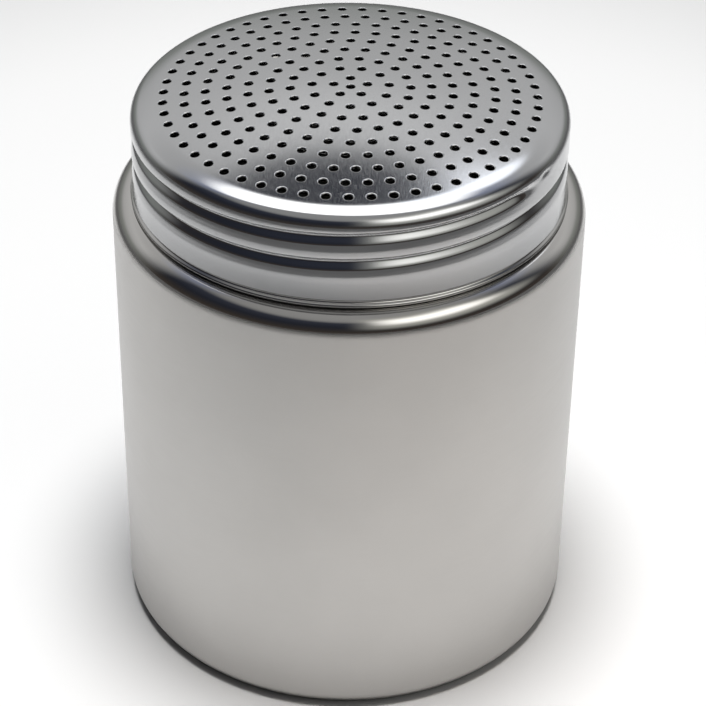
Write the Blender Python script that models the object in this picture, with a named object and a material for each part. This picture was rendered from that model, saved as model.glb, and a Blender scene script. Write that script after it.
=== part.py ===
"""Dredge shaker: a drawn steel canister and a perforated screw lid.

Metres, +Z up. The origin is the centre of the canister's underside, and every
piece is turned about the vertical axis through it. The lid is formed from one
sheet: its curled hem rises with it, and the rest also turns on the thread.
"""

import math

import bmesh
import bpy
from mathutils import Vector
from mathutils.geometry import delaunay_2d_cdt

# Overall sizes
HEIGHT = 0.0889
BODY_RADIUS = 0.034925
SHEET = 0.0005
COLUMNS = 48

# Canister
BASE_EDGE_RADIUS = 0.0030
SHOULDER_RADIUS = 0.0031
NECK_FOOT_HEIGHT = 0.0007
NECK_PLAIN_FOOT = 0.0016
NECK_PLAIN_TOP = 0.0010
RIM_BELOW_TOP = 0.0037
RIM_CHAMFER = 0.00015

# Lid
LID_INSET = 0.003125
LID_DEPTH = 0.0153
LID_EDGE_RADIUS = 0.0032
LID_EDGE_END = math.radians(82)
DOME_RADIUS = 0.207
HEM_GAP = 0.0003
HEM_HEIGHT = 0.00072
HEM_PROUD = 0.0004
HEM_INSIDE_PROUD = 0.00005
HEM_CLEARANCE = 0.00038
HEM_SIDES = 10

# Screw thread, right-handed, rolled into both sheets
PITCH = 0.00407
THREAD_BELOW_TOP = 0.0035
GROOVE_DEPTH = 0.0009
THREAD_CLEARANCE = 0.0003
GROOVE_TURNS = (-1.0, 0.908)
BEAD_TURNS = (-0.60, 1.25)
GROOVE_RUN_OUT = (0.30, 0.06)
BEAD_RUN_OUT = (0.10, 0.10)
# One turn of the groove from land to land: share of the pitch, share of the depth
GROOVE_SHAPE = ((0.09, 0.0), (0.32, 0.14), (0.44, 0.40), (0.55, 0.76), (0.65, 1.0), (0.90, 0.0))
VALLEY = 0.65

# Perforations: one in the middle, then rings of them
RING_MARGIN = 0.0048
FIRST_RING = 0.00255
RING_COUNTS = (5, 11, 18, 24, 30, 36, 43, 49, 55)
RING_TURNS = (0.26, 0.25, 0.10, 0.31, 0.52, 0.81, 0.53, 0.57, 0.22)
HOLE_RADIUS = 0.00072
HOLE_SIDES = 6

# Derived
LID_RADIUS = BODY_RADIUS - LID_INSET
LID_EDGE_CENTRE = LID_RADIUS - LID_EDGE_RADIUS
LID_FOOT = HEIGHT - LID_DEPTH
LID_THREAD_HIGH = HEIGHT - THREAD_BELOW_TOP
THREAD_DATUM = LID_THREAD_HIGH - PITCH * (GROOVE_TURNS[1] + 0.98)
RING_STEP = (LID_RADIUS - RING_MARGIN - FIRST_RING) / (len(RING_COUNTS) - 1)
NECK_RADIUS = LID_RADIUS - SHEET - GROOVE_DEPTH - THREAD_CLEARANCE
HEM_TOP = LID_FOOT - HEM_GAP
SHOULDER_TOP = HEM_TOP - HEM_HEIGHT - HEM_CLEARANCE
WALL_TOP = SHOULDER_TOP - SHOULDER_RADIUS
RIM_TOP = HEIGHT - RIM_BELOW_TOP
NECK_THREAD_LOW = SHOULDER_TOP + NECK_PLAIN_FOOT
NECK_THREAD_HIGH = RIM_TOP - NECK_PLAIN_TOP


def clear_scene():
    for obj in list(bpy.data.objects):
        bpy.data.objects.remove(obj, do_unlink=True)


def steel(name, tone, roughness):
    material = bpy.data.materials.new(name)
    material.use_nodes = True
    shader = material.node_tree.nodes["Principled BSDF"]
    shader.inputs["Base Color"].default_value = (*tone, 1.0)
    shader.inputs["Metallic"].default_value = 1.0
    shader.inputs["Roughness"].default_value = roughness
    return material


def add_object(name, mesh, material):
    """A named object from a bmesh, faces turned outwards and shaded smooth."""
    bmesh.ops.recalc_face_normals(mesh, faces=mesh.faces)
    data = bpy.data.meshes.new(name)
    mesh.to_mesh(data)
    mesh.free()
    data.shade_smooth()
    data.set_sharp_from_angle(angle=math.radians(35))
    data.materials.append(material)
    obj = bpy.data.objects.new(name, data)
    bpy.context.scene.collection.objects.link(obj)
    return obj


def smooth_step(value):
    value = min(max(value, 0.0), 1.0)
    return value * value * (3.0 - 2.0 * value)


def dome_height(radius):
    """Height of the lid's upper face: a shallow sphere."""
    return HEIGHT - DOME_RADIUS + math.sqrt(DOME_RADIUS**2 - radius**2)


def lid_edge_centre_height():
    """Height of the edge rounding's centre, so that it meets the dome."""
    radius = LID_EDGE_CENTRE + LID_EDGE_RADIUS * math.cos(LID_EDGE_END)
    return dome_height(radius) - LID_EDGE_RADIUS * math.sin(LID_EDGE_END)


# Thread

def run_out(position, turns, lengths):
    """1 along the thread, falling to 0 over a length in turns at each end."""
    start = smooth_step((position - turns[0]) / lengths[0])
    end = smooth_step((turns[1] - position) / lengths[1])
    return start * end


def groove_share(phase):
    """Depth of the groove at this share of the pitch above a land."""
    phase = phase % 1.0
    before = (GROOVE_SHAPE[-1][0] - 1.0, GROOVE_SHAPE[-1][1])
    after = (GROOVE_SHAPE[0][0] + 1.0, GROOVE_SHAPE[0][1])
    knots = (before, *GROOVE_SHAPE, after)
    for (low, at_low), (high, at_high) in zip(knots, knots[1:]):
        if low <= phase <= high:
            return at_low + (at_high - at_low) * (phase - low) / (high - low)
    return 0.0


def thread_place(z, turn, cut):
    """(position along the thread in turns, phase) with the count cut at a phase."""
    along = (z - THREAD_DATUM) / PITCH - turn
    count = math.floor(along + 1.0 - cut)
    return count + turn, along


def lid_radius_at(z, turn, inset):
    """Radius of the lid's skirt, this far inside its outer face."""
    rise = max(z - lid_edge_centre_height(), 0.0)
    rounding = LID_EDGE_RADIUS - inset
    radius = LID_EDGE_CENTRE + math.sqrt(rounding**2 - rise**2)
    position, phase = thread_place(z, turn, 1.0)
    share = groove_share(phase) * run_out(position, GROOVE_TURNS, GROOVE_RUN_OUT)
    return radius - GROOVE_DEPTH * share


def neck_radius_at(z, turn, inset):
    """Radius of the neck, this far inside its outer face."""
    position, phase = thread_place(z, turn, VALLEY)
    share = 1.0 - groove_share(phase)
    share *= run_out(position, BEAD_TURNS, BEAD_RUN_OUT)
    return NECK_RADIUS - inset + GROOVE_DEPTH * share


# Turned and threaded surfaces

def add_ring(mesh, radius, z):
    ring = []
    for column in range(COLUMNS):
        angle = 2.0 * math.pi * column / COLUMNS
        point = (radius * math.cos(angle), radius * math.sin(angle), z)
        ring.append(mesh.verts.new(point))
    return ring


def join_rings(mesh, rings):
    for lower, upper in zip(rings, rings[1:]):
        for column in range(COLUMNS):
            after = (column + 1) % COLUMNS
            corners = (lower[column], lower[after], upper[after], upper[column])
            mesh.faces.new(corners)


def thread_height(row, turn):
    """Height of a row of points that climbs with the thread."""
    count, step = divmod(row, len(GROOVE_SHAPE))
    return THREAD_DATUM + PITCH * (count + GROOVE_SHAPE[step][0] + turn)


def add_threaded_band(mesh, low, high, radius_at):
    """A band whose rows climb with the thread. Returns its two edge rings."""
    points = {}

    def point(column, row):
        turn = column / COLUMNS
        z = min(max(thread_height(row, turn), low), high)
        key = (column % COLUMNS, round(z * 1e8))
        if key not in points:
            angle = 2.0 * math.pi * turn
            radius = radius_at(z, turn)
            place = (radius * math.cos(angle), radius * math.sin(angle), z)
            points[key] = mesh.verts.new(place)
        return points[key]

    steps = len(GROOVE_SHAPE)
    first = steps * (math.floor((low - THREAD_DATUM) / PITCH) - 2)
    last = steps * (math.ceil((high - THREAD_DATUM) / PITCH) + 1)
    for column in range(COLUMNS):
        for row in range(first, last):
            corners = [point(column, row), point(column + 1, row)]
            corners += [point(column + 1, row + 1), point(column, row + 1)]
            distinct = list(dict.fromkeys(corners))
            if len(distinct) > 2:
                mesh.faces.new(distinct)
    rings = []
    for z in (low, high):
        rings.append([points[(c, round(z * 1e8))] for c in range(COLUMNS)])
    return rings


def arc(centre_radius, centre_z, radius, start, end, steps):
    """(radius, height) along a rounding, from one angle to another in degrees."""
    found = []
    for step in range(steps + 1):
        angle = math.radians(start + (end - start) * step / steps)
        across = centre_radius + radius * math.cos(angle)
        found.append((across, centre_z + radius * math.sin(angle)))
    return found


# Pieces

def canister_side(inset):
    """(radius, height) from the base to the neck, this far inside the sheet."""
    edge = BODY_RADIUS - BASE_EDGE_RADIUS
    profile = arc(edge, BASE_EDGE_RADIUS, BASE_EDGE_RADIUS - inset, -90, 0, 5)
    shoulder = BODY_RADIUS - SHOULDER_RADIUS
    profile += arc(shoulder, WALL_TOP, SHOULDER_RADIUS - inset, 0, 90, 6)
    foot = NECK_RADIUS - inset
    profile.append((foot + NECK_FOOT_HEIGHT, SHOULDER_TOP - inset))
    profile.append((foot, SHOULDER_TOP - inset + NECK_FOOT_HEIGHT))
    return profile


def make_canister(material):
    mesh = bmesh.new()
    low, high = NECK_THREAD_LOW, NECK_THREAD_HIGH
    outside = [add_ring(mesh, r, z) for r, z in canister_side(0.0)]
    inside = [add_ring(mesh, r, z) for r, z in canister_side(SHEET)]
    outer_band = add_threaded_band(
        mesh, low, high, lambda z, turn: neck_radius_at(z, turn, 0.0)
    )
    inner_band = add_threaded_band(
        mesh, low, high, lambda z, turn: neck_radius_at(z, turn, SHEET)
    )
    rim = [add_ring(mesh, NECK_RADIUS, RIM_TOP - RIM_CHAMFER)]
    rim.append(add_ring(mesh, NECK_RADIUS - RIM_CHAMFER, RIM_TOP))
    rim.append(add_ring(mesh, NECK_RADIUS - SHEET + RIM_CHAMFER, RIM_TOP))
    rim.append(add_ring(mesh, NECK_RADIUS - SHEET, RIM_TOP - RIM_CHAMFER))
    join_rings(mesh, [*outside, outer_band[0]])
    join_rings(mesh, [outer_band[1], *rim, inner_band[1]])
    join_rings(mesh, [inner_band[0], *reversed(inside)])
    mesh.faces.new(outside[0])
    mesh.faces.new(inside[0])
    return add_object("canister", mesh, material)


def hole_centres():
    centres = [(0.0, 0.0)]
    for index, count in enumerate(RING_COUNTS):
        radius = FIRST_RING + RING_STEP * index
        for step in range(count):
            angle = 2.0 * math.pi * (step + RING_TURNS[index]) / count
            centres.append((radius * math.cos(angle), radius * math.sin(angle)))
    return centres


def add_plate(mesh, top_ring, under_ring):
    """The perforated dome, between the rings that end the edge rounding."""
    flat = [Vector(vert.co[:2]) for vert in top_ring]
    owner = [-1] * COLUMNS
    for hole, centre in enumerate(hole_centres()):
        for side in range(HOLE_SIDES):
            angle = 2.0 * math.pi * side / HOLE_SIDES
            reach = Vector((math.cos(angle), math.sin(angle))) * HOLE_RADIUS
            flat.append(Vector(centre) + reach)
            owner.append(hole)
    top = list(top_ring)
    under = list(under_ring)
    for spot in flat[COLUMNS:]:
        z = dome_height(spot.length)
        top.append(mesh.verts.new((*spot, z)))
        under.append(mesh.verts.new((*spot, z - SHEET)))
    found = delaunay_2d_cdt(flat, [], [list(range(COLUMNS))], 1, 1e-9)
    sources = [orig[0] for orig in found[3]]
    for triangle in found[2]:
        corners = [sources[index] for index in triangle]
        owners = {owner[corner] for corner in corners}
        if len(owners) == 1 and -1 not in owners:
            continue
        mesh.faces.new([top[corner] for corner in corners])
        mesh.faces.new([under[corner] for corner in reversed(corners)])
    for start in range(COLUMNS, len(flat), HOLE_SIDES):
        for side in range(HOLE_SIDES):
            a = start + side
            b = start + (side + 1) % HOLE_SIDES
            mesh.faces.new((top[a], top[b], under[b], under[a]))


def lid_edge(mesh, inset):
    """Rings around the rounded edge, from the thread up to the dome."""
    centre_z = lid_edge_centre_height()
    rounding = LID_EDGE_RADIUS - inset
    start = math.degrees(math.asin((LID_THREAD_HIGH - centre_z) / rounding))
    end = math.degrees(LID_EDGE_END)
    profile = arc(LID_EDGE_CENTRE, centre_z, rounding, start, end, 4)
    return [add_ring(mesh, r, z) for r, z in profile[1:]]


def make_lid(material):
    mesh = bmesh.new()
    low, high = LID_FOOT, LID_THREAD_HIGH
    outer_band = add_threaded_band(
        mesh, low, high, lambda z, turn: lid_radius_at(z, turn, 0.0)
    )
    inner_band = add_threaded_band(
        mesh, low, high, lambda z, turn: lid_radius_at(z, turn, SHEET)
    )
    outer_edge = lid_edge(mesh, 0.0)
    inner_edge = lid_edge(mesh, SHEET)
    join_rings(mesh, [inner_band[0], outer_band[0]])
    join_rings(mesh, [outer_band[1], *outer_edge])
    join_rings(mesh, [*reversed(inner_edge), inner_band[1]])
    add_plate(mesh, outer_edge[-1], inner_edge[-1])
    return add_object("perforated_lid", mesh, material)


def make_hem(material):
    mesh = bmesh.new()
    outer = LID_RADIUS + HEM_PROUD
    inner = LID_RADIUS - SHEET + HEM_INSIDE_PROUD
    middle = (outer + inner) / 2.0
    centre_z = HEM_TOP - HEM_HEIGHT / 2.0
    rings = []
    for side in range(HEM_SIDES):
        angle = 2.0 * math.pi * (side + 0.5) / HEM_SIDES
        radius = middle + (outer - inner) / 2.0 * math.cos(angle)
        rings.append(add_ring(mesh, radius, centre_z + HEM_HEIGHT / 2.0 * math.sin(angle)))
    join_rings(mesh, [*rings, rings[0]])
    return add_object("lid_hem", mesh, material)


def main():
    clear_scene()
    body_steel = steel("canister_steel", (0.60, 0.60, 0.59), 0.30)
    lid_steel = steel("lid_steel", (0.62, 0.62, 0.61), 0.25)
    hem_steel = steel("hem_steel", (0.62, 0.62, 0.61), 0.15)
    make_canister(body_steel)
    make_lid(lid_steel)
    make_hem(hem_steel)


main()
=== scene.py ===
"""Looks of a drawn steel dredge shaker with a perforated screw lid."""

import math

import bpy
from mathutils import Matrix, Vector
from mathutils.geometry import delaunay_2d_cdt


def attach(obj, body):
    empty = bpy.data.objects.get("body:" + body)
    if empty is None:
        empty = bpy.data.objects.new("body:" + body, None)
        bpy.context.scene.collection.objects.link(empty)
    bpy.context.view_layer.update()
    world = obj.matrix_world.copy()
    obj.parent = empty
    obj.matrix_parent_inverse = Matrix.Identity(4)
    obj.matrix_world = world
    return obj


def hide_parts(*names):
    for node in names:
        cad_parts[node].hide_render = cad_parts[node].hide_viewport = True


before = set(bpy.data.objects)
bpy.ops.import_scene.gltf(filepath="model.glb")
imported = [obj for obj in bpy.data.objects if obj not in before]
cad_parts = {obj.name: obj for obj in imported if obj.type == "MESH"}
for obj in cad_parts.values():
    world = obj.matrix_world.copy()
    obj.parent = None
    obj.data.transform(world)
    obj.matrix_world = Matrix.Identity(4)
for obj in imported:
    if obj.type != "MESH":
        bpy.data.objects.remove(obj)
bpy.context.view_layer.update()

# Sizes, in metres. What the CAD shows too has the CAD's value.
HEIGHT = 0.0889
BODY_RADIUS = 0.034925
SHEET = 0.0005
LID_RADIUS = 0.0318
LID_EDGE_RADIUS = 0.0021
LID_EDGE_TURN = math.radians(70)
LID_EASE_RADIUS = 0.0120
LID_EDGE_END = math.radians(82.3)
DOME_RADIUS = 0.207
LID_FOOT = 0.0736
FLARE = 0.00021
FLARE_HEIGHT = 0.0028
HEM_PROUD = 0.00034
HEM_EDGE_INSET = 0.00012
HEM_CORNER_INSET = 0.00002
HEM_CORNER_DROP = 0.00004
HEM_CREASE_RADIUS = 0.0003
HEM_CREASE_INSET = 0.00004
HEM_CREASE_DROP = 0.00036
HEM_BEAD_RADIUS = 0.0003
HEM_BEAD_INSET = 0.00026
HEM_BEAD_DROP = 0.0010
BASE_EDGE_RADIUS = 0.0030
SHOULDER_TOP = 0.0722
SHOULDER_RADIUS = 0.0031
RIM_TOP = 0.0852
NECK_FOOT_RADIUS = 0.0008
NECK_PLAIN_FOOT = 0.0016
NECK_PLAIN_TOP = 0.0010
PITCH = 0.00407
THREAD_HIGH = 0.0854
GROOVE_DEPTH = 0.0009
GROOVE_TURNS = (-1.0, 0.908)
GROOVE_RUN_OUT = (0.30, 0.035)
BEAD_TURNS = (-0.60, 1.25)
BEAD_RUN_OUT = (0.10, 0.10)
GROOVE_TOP_SHARE = 0.98
THREAD_DATUM = THREAD_HIGH - PITCH * (GROOVE_TURNS[1] + GROOVE_TOP_SHARE)
THREAD_CLEARANCE = 0.0003
NECK_RADIUS = LID_RADIUS - SHEET - GROOVE_DEPTH - THREAD_CLEARANCE
FIRST_RING = 0.00255
LAST_RING = 0.0270
RING_COUNTS = (5, 11, 18, 24, 30, 36, 43, 49, 55)
RING_TURNS = (0.26, 0.25, 0.10, 0.31, 0.52, 0.81, 0.53, 0.57, 0.22)
HOLE_RADIUS = 0.00064
# Share of the groove's depth at which the satin skirt has turned polished
POLISH_SHARE = 0.08
# Heights above the wall's top between which the satin wall turns polished
SHOULDER_SATIN, SHOULDER_POLISHED = 0.0006, 0.0010

# How finely the meshes are made
HOLE_SIDES = 20
COLUMNS = 240
GROOVE_ROWS = 28
ROUNDING_STEPS = 14
WALL_ROWS = 12
FILLER_STEP = 0.0012
# A ring this far under the shoulder's rounding keeps the wall's shading straight
WALL_END = 0.0003
# A face takes a point's own normal where the cosine between them is above this
FACING = 0.9


# ---------------------------------------------------------------- mesh tools

class Shape:
    """Points and faces. Each point has a polish, from 0, satin, to 1, polished."""

    def __init__(self):
        self.points = []
        self.polish = []
        self.faces = []
        self.normals = {}

    def add(self, point, polish):
        self.points.append(tuple(point))
        self.polish.append(polish)
        return len(self.points) - 1

    def ring(self, radius, z, polish):
        ring = []
        for column in range(COLUMNS):
            angle = 2.0 * math.pi * column / COLUMNS
            place = (radius * math.cos(angle), radius * math.sin(angle), z)
            ring.append(self.add(place, polish))
        return ring

    def join(self, rings, flip=False):
        for lower, upper in zip(rings, rings[1:]):
            for column in range(COLUMNS):
                after = (column + 1) % COLUMNS
                face = [lower[column], lower[after], upper[after], upper[column]]
                self.faces.append(face[::-1] if flip else face)

    def disc(self, ring, flip=False):
        self.faces.append(ring[::-1] if flip else ring)

    def piece(self, name, material, sharp=38):
        """The finished object. Edges sharper than this many degrees stay sharp."""
        mesh = bpy.data.meshes.new(name)
        mesh.from_pydata(self.points, [], self.faces)
        mesh.update()
        layer = mesh.attributes.new("polish", "FLOAT", "POINT")
        layer.data.foreach_set("value", self.polish)
        mesh.shade_smooth()
        mesh.set_sharp_from_angle(angle=math.radians(sharp))
        if self.normals:
            found = [corner.vector.copy() for corner in mesh.corner_normals]
            for face in mesh.polygons:
                for index in face.loop_indices:
                    normal = self.normals.get(mesh.loops[index].vertex_index)
                    if normal and normal.dot(face.normal) > FACING:
                        found[index] = normal
            mesh.normals_split_custom_set(found)
        mesh.materials.append(material)
        obj = bpy.data.objects.new(name, mesh)
        bpy.context.scene.collection.objects.link(obj)
        return obj


def smooth_step(value):
    value = min(max(value, 0.0), 1.0)
    return value * value * (3.0 - 2.0 * value)


def run_out(position, turns, lengths):
    """1 along the thread, falling to 0 over a length in turns at each end."""
    start = smooth_step((position - turns[0]) / lengths[0])
    end = smooth_step((turns[1] - position) / lengths[1])
    return start * end


def dome_height(radius):
    """Height of the lid's upper face: a shallow sphere."""
    return HEIGHT - DOME_RADIUS + math.sqrt(DOME_RADIUS**2 - radius**2)


def dome_normal(point):
    across = Vector((point[0], point[1], 0.0))
    up = math.sqrt(DOME_RADIUS**2 - across.length_squared)
    return (across + Vector((0.0, 0.0, up))).normalized()


# The rounding turns tightly to LID_EDGE_TURN, then eases into the dome
EDGE_CENTRE = LID_RADIUS - LID_EDGE_RADIUS
EASE = LID_EASE_RADIUS - LID_EDGE_RADIUS
EASE_CENTRE = EDGE_CENTRE - EASE * math.cos(LID_EDGE_TURN)
EDGE_CENTRE_Z = (
    dome_height(EASE_CENTRE + LID_EASE_RADIUS * math.cos(LID_EDGE_END))
    - LID_EASE_RADIUS * math.sin(LID_EDGE_END)
    + EASE * math.sin(LID_EDGE_TURN)
)
EASE_CENTRE_Z = EDGE_CENTRE_Z - EASE * math.sin(LID_EDGE_TURN)


# ---------------------------------------------------------------- the thread

# (share of the pitch above a land, share of the groove's depth)
GROOVE_SHAPE = (
    (0.079, 0.0),
    (0.115, 0.010),
    (0.158, 0.037),
    (0.336, 0.172),
    (0.415, 0.298),
    (0.535, 0.696),
    (0.615, 0.961),
    (0.649, 1.0),
    (0.690, 0.93),
    (0.860, 0.07),
    (0.905, 0.0),
)
VALLEY = 0.649
# A small dent where the groove ends: place along and up, depth, half sizes
DENT_TURN, DENT_HEIGHT, DENT_DEPTH = 0.9145, 0.0846, 0.00026
DENT_LENGTH, DENT_TALL = 0.0010, 0.00038


def knot_slope(index):
    """Slope of the groove's profile at a knot: level at the lands and the valley."""
    if index in (0, len(GROOVE_SHAPE) - 1) or GROOVE_SHAPE[index][0] == VALLEY:
        return 0.0
    (low, at_low), (high, at_high) = GROOVE_SHAPE[index - 1], GROOVE_SHAPE[index + 1]
    return (at_high - at_low) / (high - low)


def groove_share(phase):
    """Depth of the groove, 0 to 1, on a smooth curve through GROOVE_SHAPE."""
    phase = phase % 1.0
    knots = GROOVE_SHAPE
    if phase <= knots[0][0] or phase >= knots[-1][0]:
        return 0.0
    index = next(i for i, knot in enumerate(knots) if knot[0] > phase) - 1
    (low, at_low), (high, at_high) = knots[index], knots[index + 1]
    slope_low = knot_slope(index)
    slope_high = knot_slope(index + 1)
    span = high - low
    way = (phase - low) / span
    value = at_low * (1.0 + 2.0 * way) * (1.0 - way) ** 2
    value += at_high * way * way * (3.0 - 2.0 * way)
    value += slope_low * span * way * (1.0 - way) ** 2
    return value - slope_high * span * way * way * (1.0 - way)


def thread_place(z, turn, cut):
    """(position along the thread in turns, phase) with the count cut at a phase."""
    along = (z - THREAD_DATUM) / PITCH - turn
    return math.floor(along + 1.0 - cut) + turn, along


def lid_surface(z, turn, inset):
    """(radius, polish) of the lid's skirt, this far inside its outer face."""
    rise = max(z - EDGE_CENTRE_Z, 0.0)
    rounding = LID_EDGE_RADIUS - inset
    radius = EDGE_CENTRE + math.sqrt(rounding**2 - rise**2)
    position, phase = thread_place(z, turn, 1.0)
    share = groove_share(phase) * run_out(position, GROOVE_TURNS, GROOVE_RUN_OUT)
    fall = (LID_FOOT + FLARE_HEIGHT - z) / FLARE_HEIGHT
    if fall > 0.0:
        radius += FLARE * fall**1.6
    along = 2.0 * math.pi * LID_RADIUS * (turn % 1.0 - DENT_TURN) / DENT_LENGTH
    dent = math.exp(-(along**2) - ((z - DENT_HEIGHT) / DENT_TALL) ** 2)
    depth = GROOVE_DEPTH * share + DENT_DEPTH * dent
    return radius - depth, smooth_step(share / POLISH_SHARE)


def neck_surface(z, turn, inset):
    """(radius, polish) of the neck, whose bead fits the lid's land."""
    position, phase = thread_place(z, turn, VALLEY)
    share = 1.0 - groove_share(phase)
    share *= run_out(position, BEAD_TURNS, BEAD_RUN_OUT)
    return NECK_RADIUS - inset + GROOVE_DEPTH * share, 1.0


def thread_rows():
    """Shares of the pitch at which rows of points climb with the thread."""
    low, high = GROOVE_SHAPE[0][0], GROOVE_SHAPE[-1][0]
    span = high - low
    inside = [low + span * row / GROOVE_ROWS for row in range(GROOVE_ROWS + 1)]
    return [0.0, *inside]


def height_key(z):
    """Heights that agree to 10 nanometres count as one."""
    return round(z * 1e8)


def threaded_band(shape, low, high, surface, flip=False):
    """A band whose rows climb with the thread. Returns its two edge rings."""
    shares = thread_rows()
    steps = len(shares)
    points = {}

    def point(column, row):
        turn = column / COLUMNS
        count, step = divmod(row, steps)
        z = THREAD_DATUM + PITCH * (count + shares[step] + turn)
        z = min(max(z, low), high)
        key = (column % COLUMNS, height_key(z))
        if key not in points:
            radius, polish = surface(z, turn)
            angle = 2.0 * math.pi * turn
            place = (radius * math.cos(angle), radius * math.sin(angle), z)
            points[key] = shape.add(place, polish)
        return points[key]

    first = steps * (math.floor((low - THREAD_DATUM) / PITCH) - 2)
    last = steps * (math.ceil((high - THREAD_DATUM) / PITCH) + 1)
    for column in range(COLUMNS):
        for row in range(first, last):
            corners = [point(column, row), point(column + 1, row)]
            corners += [point(column + 1, row + 1), point(column, row + 1)]
            face = list(dict.fromkeys(corners))
            if len(face) > 2:
                shape.faces.append(face[::-1] if flip else face)
    edges = []
    for z in (low, high):
        edges.append([points[(c, height_key(z))] for c in range(COLUMNS)])
    return edges


def arc(centre_radius, centre_z, radius, start, end, steps):
    """(radius, height) along a rounding, from one angle to another in degrees."""
    found = []
    for step in range(steps + 1):
        angle = math.radians(start + (end - start) * step / steps)
        across = centre_radius + radius * math.cos(angle)
        found.append((across, centre_z + radius * math.sin(angle)))
    return found


# ---------------------------------------------------------------- canister

def canister_side(inset):
    """(radius, height, polish) from the base up to the neck's thread."""
    rounding = BASE_EDGE_RADIUS - inset
    centre = BODY_RADIUS - BASE_EDGE_RADIUS
    base = arc(centre, BASE_EDGE_RADIUS, rounding, -90, 0, ROUNDING_STEPS)
    side = [(r, z, 0.0) for r, z in base]
    wall_top = SHOULDER_TOP - SHOULDER_RADIUS
    for step in range(1, WALL_ROWS):
        z = BASE_EDGE_RADIUS + (wall_top - BASE_EDGE_RADIUS) * step / WALL_ROWS
        side.append((BODY_RADIUS - inset, z, 0.0))
    side.append((BODY_RADIUS - inset, wall_top - WALL_END, 0.0))
    centre = BODY_RADIUS - SHOULDER_RADIUS
    shoulder = arc(centre, wall_top, SHOULDER_RADIUS - inset, 0, 90, ROUNDING_STEPS)
    for r, z in shoulder:
        rise = z - wall_top - SHOULDER_SATIN
        side.append((r, z, smooth_step(rise / (SHOULDER_POLISHED - SHOULDER_SATIN))))
    foot = NECK_RADIUS - inset + NECK_FOOT_RADIUS
    foot_z = SHOULDER_TOP - inset + NECK_FOOT_RADIUS
    fillet = arc(foot, foot_z, NECK_FOOT_RADIUS, 270, 180, 6)
    side += [(r, z, 1.0) for r, z in fillet]
    return side


def make_canister(material):
    shape = Shape()
    low, high = SHOULDER_TOP + NECK_PLAIN_FOOT, RIM_TOP - NECK_PLAIN_TOP
    outside = [shape.ring(*place) for place in canister_side(0.0)]
    inside = [shape.ring(*place) for place in canister_side(SHEET)]
    outer = threaded_band(shape, low, high, lambda z, t: neck_surface(z, t, 0.0))
    inner = threaded_band(
        shape, low, high, lambda z, t: neck_surface(z, t, SHEET), True
    )
    middle = NECK_RADIUS - SHEET / 2.0
    lip = arc(middle, RIM_TOP - SHEET / 2.0, SHEET / 2.0, 0, 180, 8)
    rim = [shape.ring(r, z, 1.0) for r, z in lip]
    shape.join([*outside, outer[0]])
    shape.join([outer[1], *rim, inner[1]])
    shape.join([inner[0], *reversed(inside)])
    shape.disc(outside[0], True)
    shape.disc(inside[0])
    return shape.piece("canister_shell", material)


# ---------------------------------------------------------------- lid

def hole_centres():
    centres = [(0.0, 0.0)]
    step = (LAST_RING - FIRST_RING) / (len(RING_COUNTS) - 1)
    for index, count in enumerate(RING_COUNTS):
        radius = FIRST_RING + step * index
        for number in range(count):
            angle = 2.0 * math.pi * (number + RING_TURNS[index]) / count
            centres.append((radius * math.cos(angle), radius * math.sin(angle)))
    return centres


# (distance out from the hole's wall, depth) of the punched edge, top to bottom
HOLE_EDGE = (
    (0.00019, 0.0),
    (0.00012, 0.00001),
    (0.00006, 0.00004),
    (0.00001, 0.00009),
    (0.0, 0.00015),
    (0.0, 0.00046),
    (0.00004, 0.0005),
)


def filler_points():
    """Points between the rings of holes, so that the dome's triangles are even."""
    found = []
    step = (LAST_RING - FIRST_RING) / (len(RING_COUNTS) - 1)
    for index in range(len(RING_COUNTS)):
        radius = FIRST_RING + step * (index + 0.5)
        count = max(8, round(2.0 * math.pi * radius / FILLER_STEP))
        for number in range(count):
            angle = 2.0 * math.pi * number / count
            found.append(Vector((radius * math.cos(angle), radius * math.sin(angle))))
    return found


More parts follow.
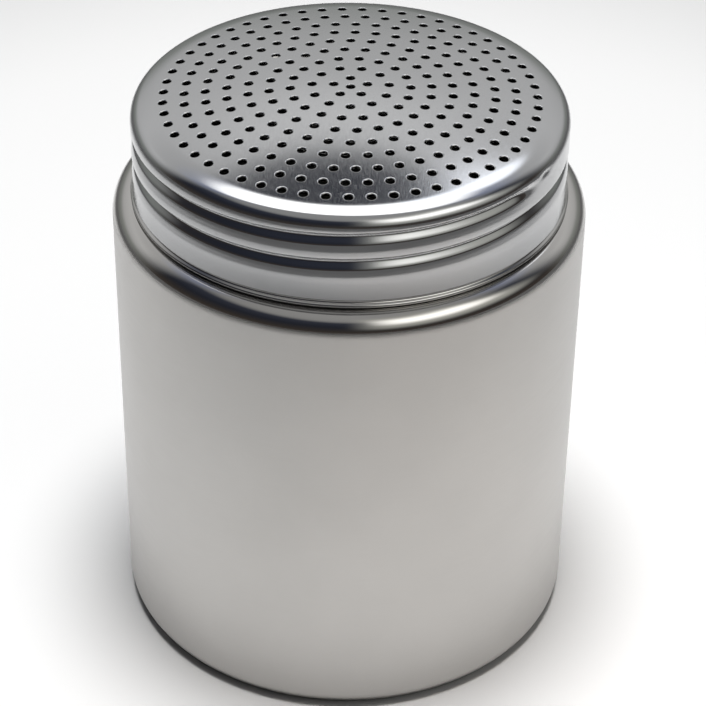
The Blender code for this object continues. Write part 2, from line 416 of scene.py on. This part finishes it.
def plate(shape, top_ring, under_ring):
    """The perforated dome, between the rings that end the edge rounding."""
    centres = hole_centres()
    flat = [Vector(shape.points[index][:2]) for index in top_ring]
    owner = [-1] * COLUMNS
    outline = HOLE_RADIUS + HOLE_EDGE[0][0]
    sides = [2.0 * math.pi * side / HOLE_SIDES for side in range(HOLE_SIDES)]
    for hole, centre in enumerate(centres):
        for angle in sides:
            reach = Vector((math.cos(angle), math.sin(angle))) * outline
            flat.append(Vector(centre) + reach)
            owner.append(hole)
    for spot in filler_points():
        flat.append(spot)
        owner.append(-2)
    top = list(top_ring)
    under = list(under_ring)
    for spot in flat[COLUMNS:]:
        z = dome_height(spot.length)
        top.append(shape.add((*spot, z), 0.0))
    for index in top[COLUMNS:]:
        shape.normals[index] = dome_normal(shape.points[index])
    rim_start = COLUMNS
    rows = []
    for out, depth in HOLE_EDGE[1:]:
        row = []
        for centre in centres:
            for angle in sides:
                reach = Vector((math.cos(angle), math.sin(angle)))
                spot = Vector(centre) + reach * (HOLE_RADIUS + out)
                z = dome_height(spot.length) - depth
                row.append(shape.add((*spot, z), 0.6))
        rows.append(row)
    last = rows[-1]
    holes_end = rim_start + len(centres) * HOLE_SIDES
    under += last
    for spot in flat[holes_end:]:
        under.append(shape.add((*spot, dome_height(spot.length) - SHEET), 0.0))
    for index in under[COLUMNS + len(last) :]:
        shape.normals[index] = -dome_normal(shape.points[index])
    found = delaunay_2d_cdt(flat, [], [list(range(COLUMNS))], 1, 1e-9)
    sources = [orig[0] for orig in found[3]]
    for triangle in found[2]:
        corners = [sources[index] for index in triangle]
        owners = {owner[corner] for corner in corners}
        if len(owners) == 1 and min(owners) >= 0:
            continue
        shape.faces.append([top[corner] for corner in corners])
        shape.faces.append([under[corner] for corner in reversed(corners)])
    rows = [top[rim_start:holes_end], *rows]
    for upper, lower in zip(rows, rows[1:]):
        for start in range(0, len(upper), HOLE_SIDES):
            for side in range(HOLE_SIDES):
                a = start + side
                b = start + (side + 1) % HOLE_SIDES
                shape.faces.append([upper[a], upper[b], lower[b], lower[a]])


def lid_edge(shape, inset, steps=22):
    """Rings around the edge, polished by the thread and satin by the dome."""
    rounding = LID_EDGE_RADIUS - inset
    start = math.degrees(math.asin((THREAD_HIGH - EDGE_CENTRE_Z) / rounding))
    turn, end = math.degrees(LID_EDGE_TURN), math.degrees(LID_EDGE_END)
    places = arc(EDGE_CENTRE, EDGE_CENTRE_Z, rounding, start, turn, steps // 2)
    easing = LID_EASE_RADIUS - inset
    places += arc(EASE_CENTRE, EASE_CENTRE_Z, easing, turn, end, steps // 2)[1:]
    rings = []
    for number, (r, z) in enumerate(places[1:]):
        rings.append(shape.ring(r, z, 0.8 * smooth_step((steps - number) / 5.0)))
    return rings


def make_lid(material):
    shape = Shape()
    low, high = LID_FOOT, THREAD_HIGH
    outer = threaded_band(shape, low, high, lambda z, t: lid_surface(z, t, 0.0))
    inner = threaded_band(
        shape, low, high, lambda z, t: lid_surface(z, t, SHEET), True
    )
    outer_edge = lid_edge(shape, 0.0)
    inner_edge = lid_edge(shape, SHEET)
    shape.join([inner[0], outer[0]])
    shape.join([outer[1], *outer_edge])
    shape.join([*reversed(inner_edge), inner[1]])
    plate(shape, outer_edge[-1], inner_edge[-1])
    return shape.piece("lid_shell", material)


def make_hem(material):
    """The curled edge: a concave crease under the band, then a round bead."""
    shape = Shape()
    inner = LID_RADIUS - SHEET
    flare = LID_RADIUS + FLARE
    face = LID_RADIUS + HEM_PROUD
    profile = [(inner, LID_FOOT, 1.0), (flare - HEM_EDGE_INSET, LID_FOOT, 0.5)]
    profile += [(flare - HEM_CORNER_INSET, LID_FOOT - HEM_CORNER_DROP, 0.5)]
    crease_z = LID_FOOT - HEM_CREASE_DROP
    crease_centre = flare - HEM_CREASE_INSET
    crease = arc(crease_centre, crease_z, HEM_CREASE_RADIUS, 100, 240, 10)
    profile += [(r, z, 1.0) for r, z in crease]
    bead_z = LID_FOOT - HEM_BEAD_DROP
    bead = arc(face - HEM_BEAD_INSET, bead_z, HEM_BEAD_RADIUS, 62, -90, 14)
    profile += [(r, z, 0.9) for r, z in bead]
    profile.append((inner, bead_z - HEM_BEAD_RADIUS, 1.0))
    rings = [shape.ring(*place) for place in profile]
    shape.join([*rings, rings[0]], True)
    return shape.piece("hem_bead", material, 40)


# ---------------------------------------------------------------- materials

def new_material(name):
    material = bpy.data.materials.new(name)
    material.use_nodes = True
    return material, material.node_tree


def add_node(tree, kind, **values):
    node = tree.nodes.new(kind)
    for key, value in values.items():
        setattr(node, key, value)
    return node


# Steel varies between these shares of its tone, and this far in its roughness
DARKEST, LIGHTEST = 0.93, 1.05
ROUGHNESS_SPREAD = 0.05


def steel(name, tone, satin, polished, streak):
    """Steel with a fine grain, whose roughness runs from satin to polished."""
    material, tree = new_material(name)
    link = tree.links.new
    shader = tree.nodes["Principled BSDF"]
    shader.inputs["Metallic"].default_value = 1.0
    place = add_node(tree, "ShaderNodeTexCoord")
    stretch = add_node(tree, "ShaderNodeMapping")
    stretch.inputs["Scale"].default_value = streak
    link(place.outputs["Object"], stretch.inputs["Vector"])
    grain = add_node(tree, "ShaderNodeTexNoise")
    grain.inputs["Scale"].default_value = 1.0
    grain.inputs["Detail"].default_value = 6.0
    grain.inputs["Roughness"].default_value = 0.65
    link(stretch.outputs["Vector"], grain.inputs["Vector"])
    cloud = add_node(tree, "ShaderNodeTexNoise")
    cloud.inputs["Scale"].default_value = 60.0
    cloud.inputs["Detail"].default_value = 3.0
    link(place.outputs["Object"], cloud.inputs["Vector"])

    polish = add_node(tree, "ShaderNodeAttribute", attribute_name="polish")

    # colour
    tint = add_node(tree, "ShaderNodeMix", data_type="RGBA")
    tint.inputs[6].default_value = (*[c * DARKEST for c in tone], 1.0)
    tint.inputs[7].default_value = (*[min(c * LIGHTEST, 1.0) for c in tone], 1.0)
    link(cloud.outputs["Fac"], tint.inputs[0])
    link(tint.outputs[2], shader.inputs["Base Color"])

    # roughness
    spread = add_node(tree, "ShaderNodeMapRange")
    spread.inputs["From Min"].default_value = 0.3
    spread.inputs["From Max"].default_value = 0.7
    spread.inputs["To Min"].default_value = satin - ROUGHNESS_SPREAD
    spread.inputs["To Max"].default_value = satin + ROUGHNESS_SPREAD
    link(grain.outputs["Fac"], spread.inputs["Value"])
    level = add_node(tree, "ShaderNodeMix", data_type="FLOAT")
    link(polish.outputs["Fac"], level.inputs[0])
    link(spread.outputs["Result"], level.inputs[2])
    level.inputs[3].default_value = polished
    link(level.outputs[0], shader.inputs["Roughness"])

    # bump
    fade = add_node(tree, "ShaderNodeMapRange")
    fade.inputs["To Min"].default_value = 0.22
    fade.inputs["To Max"].default_value = 0.05
    link(polish.outputs["Fac"], fade.inputs["Value"])
    bump = add_node(tree, "ShaderNodeBump")
    bump.inputs["Distance"].default_value = 0.00002
    link(fade.outputs["Result"], bump.inputs["Strength"])
    link(grain.outputs["Fac"], bump.inputs["Height"])
    link(bump.outputs["Normal"], shader.inputs["Normal"])
    return material


# ---------------------------------------------------------------- the stage

def spot_light(name, place, aim, cone, blend, power, colour=(1.0, 1.0, 1.0)):
    """A pool of light on the floor. Steel shows the floor, but not the light itself."""
    data = bpy.data.lights.new(name, "SPOT")
    data.spot_size = math.radians(cone)
    data.spot_blend = blend
    data.shadow_soft_size = 0.12
    data.energy = power
    data.color = colour
    obj = bpy.data.objects.new(name, data)
    obj.location = place
    way = Vector(aim) - Vector(place)
    obj.rotation_euler = way.to_track_quat("-Z", "Y").to_euler()
    obj.visible_glossy = False
    bpy.context.scene.collection.objects.link(obj)


def make_floor():
    mesh = bpy.data.meshes.new("floor")
    reach = 3.0
    corners = [(-reach, -reach, 0), (reach, -reach, 0), (reach, reach, 0)]
    corners.append((-reach, reach, 0))
    mesh.from_pydata(corners, [], [(0, 1, 2, 3)])
    material, tree = new_material("floor_paint")
    shader = tree.nodes["Principled BSDF"]
    shader.inputs["Base Color"].default_value = (0.26, 0.26, 0.26, 1.0)
    shader.inputs["Roughness"].default_value = 0.9
    mesh.materials.append(material)
    obj = bpy.data.objects.new("floor", mesh)
    bpy.context.scene.collection.objects.link(obj)


def ramp(tree, stops):
    """A ramp over the sine of the elevation, from (elevation, level, tint) stops."""
    node = add_node(tree, "ShaderNodeValToRGB")
    elements = node.color_ramp.elements
    while len(elements) < len(stops):
        elements.new(0.5)
    for element, (elevation, level, tint) in zip(elements, stops):
        element.position = math.sin(math.radians(elevation))
        element.color = (*[level * part / MOST for part in tint], 1.0)
    return node


# Brightest value in the room, by which its ramps are divided
MOST = 3.0
NAVY = (0.78, 0.88, 1.25)
BROWN = (1.15, 0.98, 0.88)
GREY = (1.0, 1.0, 1.0)
GREEN = (0.98, 1.02, 0.97)
FRONT_ROOM = (
    (0, 0.07, BROWN),
    (8, 0.05, BROWN),
    (30, 0.035, NAVY),
    (50, 0.06, NAVY),
    (62, 0.40, GREY),
    (90, 0.45, GREY),
)
BACK_ROOM = (
    (0, 0.26, GREEN),
    (10, 0.36, GREEN),
    (20, 0.66, GREY),
    (32, 0.78, GREY),
    (44, 0.62, GREY),
    (56, 0.45, NAVY),
    (90, 0.35, GREY),
)


def soft_step(tree, value, start, end):
    """0 to 1 as a value goes from start to end."""
    fade = add_node(tree, "ShaderNodeMapRange", interpolation_type="SMOOTHSTEP")
    fade.inputs["From Min"].default_value = start
    fade.inputs["From Max"].default_value = end
    tree.links.new(value, fade.inputs["Value"])
    return fade.outputs["Result"]


def nearness(tree, stretch, direction):
    """Cosine of the angle between a direction and the place in the stretched room."""
    place = add_node(tree, "ShaderNodeTexCoord")
    squash = add_node(tree, "ShaderNodeVectorMath", operation="MULTIPLY")
    squash.inputs[1].default_value = stretch
    tree.links.new(place.outputs["Generated"], squash.inputs[0])
    unit = add_node(tree, "ShaderNodeVectorMath", operation="NORMALIZE")
    tree.links.new(squash.outputs[0], unit.inputs[0])
    dot = add_node(tree, "ShaderNodeVectorMath", operation="DOT_PRODUCT")
    dot.inputs[1].default_value = direction
    tree.links.new(unit.outputs[0], dot.inputs[0])
    return dot.outputs["Value"]


def cosines(*angles):
    return [math.cos(math.radians(angle)) for angle in angles]


def blob(tree, direction, stretch, edge, core):
    """Soft spot of the room around a direction: 1 within core degrees of it."""
    aim = Vector([a * b for a, b in zip(direction, stretch)]).normalized()
    return soft_step(tree, nearness(tree, stretch, aim), *cosines(edge, core))


def pane(tree, azimuth, edge, core, low, high, soft):
    """Patch of the room: 1 within core degrees of an azimuth and between heights."""
    across = nearness(tree, (1.0, 1.0, 0.0), heading(azimuth, 0))
    limits = [(across, *cosines(edge, core))]
    place = add_node(tree, "ShaderNodeTexCoord")
    split = add_node(tree, "ShaderNodeSeparateXYZ")
    tree.links.new(place.outputs["Generated"], split.inputs[0])
    for first, last in ((low - soft, low + soft), (high + soft, high - soft)):
        ends = [math.sin(math.radians(angle)) for angle in (first, last)]
        limits.append((split.outputs["Z"], *ends))
    result = None
    for limit in limits:
        fade = soft_step(tree, *limit)
        if result is None:
            result = fade
            continue
        both = add_node(tree, "ShaderNodeMath", operation="MULTIPLY")
        tree.links.new(result, both.inputs[0])
        tree.links.new(fade, both.inputs[1])
        result = both.outputs[0]
    return result


def heading(azimuth, elevation):
    """Unit direction; azimuth 0 is straight in front, positive to the right."""
    across, up = math.radians(azimuth), math.radians(elevation)
    flat = math.cos(up)
    return (flat * math.sin(across), -flat * math.cos(across), math.sin(up))


def make_world():
    """A room that is dark in front, grey behind and lit high up and front right."""
    world = bpy.data.worlds.new("studio")
    world.use_nodes = True
    tree = world.node_tree
    link = tree.links.new
    background = tree.nodes["Background"]
    place = add_node(tree, "ShaderNodeTexCoord")
    split = add_node(tree, "ShaderNodeSeparateXYZ")
    link(place.outputs["Generated"], split.inputs[0])
    front, back = ramp(tree, FRONT_ROOM), ramp(tree, BACK_ROOM)
    link(split.outputs["Z"], front.inputs["Fac"])
    link(split.outputs["Z"], back.inputs["Fac"])
    skew = add_node(tree, "ShaderNodeMath", operation="MULTIPLY_ADD")
    skew.inputs[1].default_value = -0.05
    link(split.outputs["X"], skew.inputs[0])
    link(split.outputs["Y"], skew.inputs[2])
    # the back room takes over from the front room over these shares of the depth
    side = soft_step(tree, skew.outputs[0], 0.10, 0.55)
    room = add_node(tree, "ShaderNodeMix", data_type="RGBA")
    link(side, room.inputs[0])
    link(front.outputs["Color"], room.inputs[6])
    link(back.outputs["Color"], room.inputs[7])
    # (azimuth, edge, core, low, high, softness, level, tint)
    panes = (
        (52, 54, 26, 20, 74, 10, 0.62, (1.0, 1.0, 0.93)),
        (50, 42, 14, 38, 62, 9, 2.4, (1.0, 0.99, 0.96)),
    )
    # (direction, stretch, edge, core, level, tint)
    spots = (
        (heading(184, 63), (0.70, 1.0, 1.0), 16, 9, 3.0, GREY),
        (heading(163, 48), (1.0, 1.0, 1.0), 10, 6, 2.4, (0.96, 0.99, 1.06)),
        (heading(181, 39), (1.0, 1.0, 1.0), 12, 3, 0.98, GREY),
        (heading(182, 47.8), (1.0, 1.0, 1.6), 8.0, 5.4, 0.04, NAVY),
    )
    colour = room.outputs[2]
    patches = [(pane, patch) for patch in panes] + [(blob, patch) for patch in spots]
    for shape, (*where, level, tint) in patches:
        mix = add_node(tree, "ShaderNodeMix", data_type="RGBA")
        link(shape(tree, *where), mix.inputs[0])
        link(colour, mix.inputs[6])
        mix.inputs[7].default_value = (*[level / MOST * part for part in tint], 1.0)
        colour = mix.outputs[2]
    link(colour, background.inputs["Color"])
    background.inputs["Strength"].default_value = MOST
    bpy.context.scene.world = world


def make_camera():
    """A long lens above the front, rolled slightly as in the photograph."""
    distance = 0.3716
    elevation = math.radians(35.1)
    target = Vector((0.0, 0.0, 0.0476))
    data = bpy.data.cameras.new("camera")
    data.sensor_width = 36.0
    data.lens = 123.63909
    data.shift_x = 0.0074
    data.shift_y = -0.0442
    data.clip_start = 0.01
    obj = bpy.data.objects.new("camera", data)
    away = Vector((0.0, -math.cos(elevation), math.sin(elevation)))
    obj.location = target + away * distance
    aim = (-away).to_track_quat("-Z", "Y").to_matrix().to_4x4()
    roll = Matrix.Rotation(math.radians(0.7), 4, "Z")
    obj.matrix_world = Matrix.Translation(obj.location) @ aim @ roll
    bpy.context.scene.collection.objects.link(obj)
    bpy.context.scene.camera = obj


body_steel = steel("canister_steel", (0.49, 0.48, 0.465), 0.36, 0.10, (150, 150, 9000))
lid_steel = steel("lid_steel", (0.478, 0.482, 0.487), 0.145, 0.10, (9000, 700, 150))
hem_steel = steel("hem_steel", (0.44, 0.435, 0.425), 0.22, 0.10, (150, 150, 9000))

canister = make_canister(body_steel)
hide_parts("canister")
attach(canister, "canister")

lid = make_lid(lid_steel)
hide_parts("perforated_lid")
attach(lid, "lid")

hem = make_hem(hem_steel)
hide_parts("lid_hem")
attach(hem, "hem")

make_floor()
make_world()
WARM = (1.0, 0.84, 0.72)
spot_light("floor_pool", (0.0, 0.0, 0.6), (0.0, 0.055, 0.0), 45, 0.12, 50.0)
spot_light("warm_pool", (0.09, -0.15, 0.5), (0.075, -0.105, 0.0), 20, 1.0, 20.0, WARM)
bpy.context.scene.view_settings.view_transform = "Standard"
make_camera()
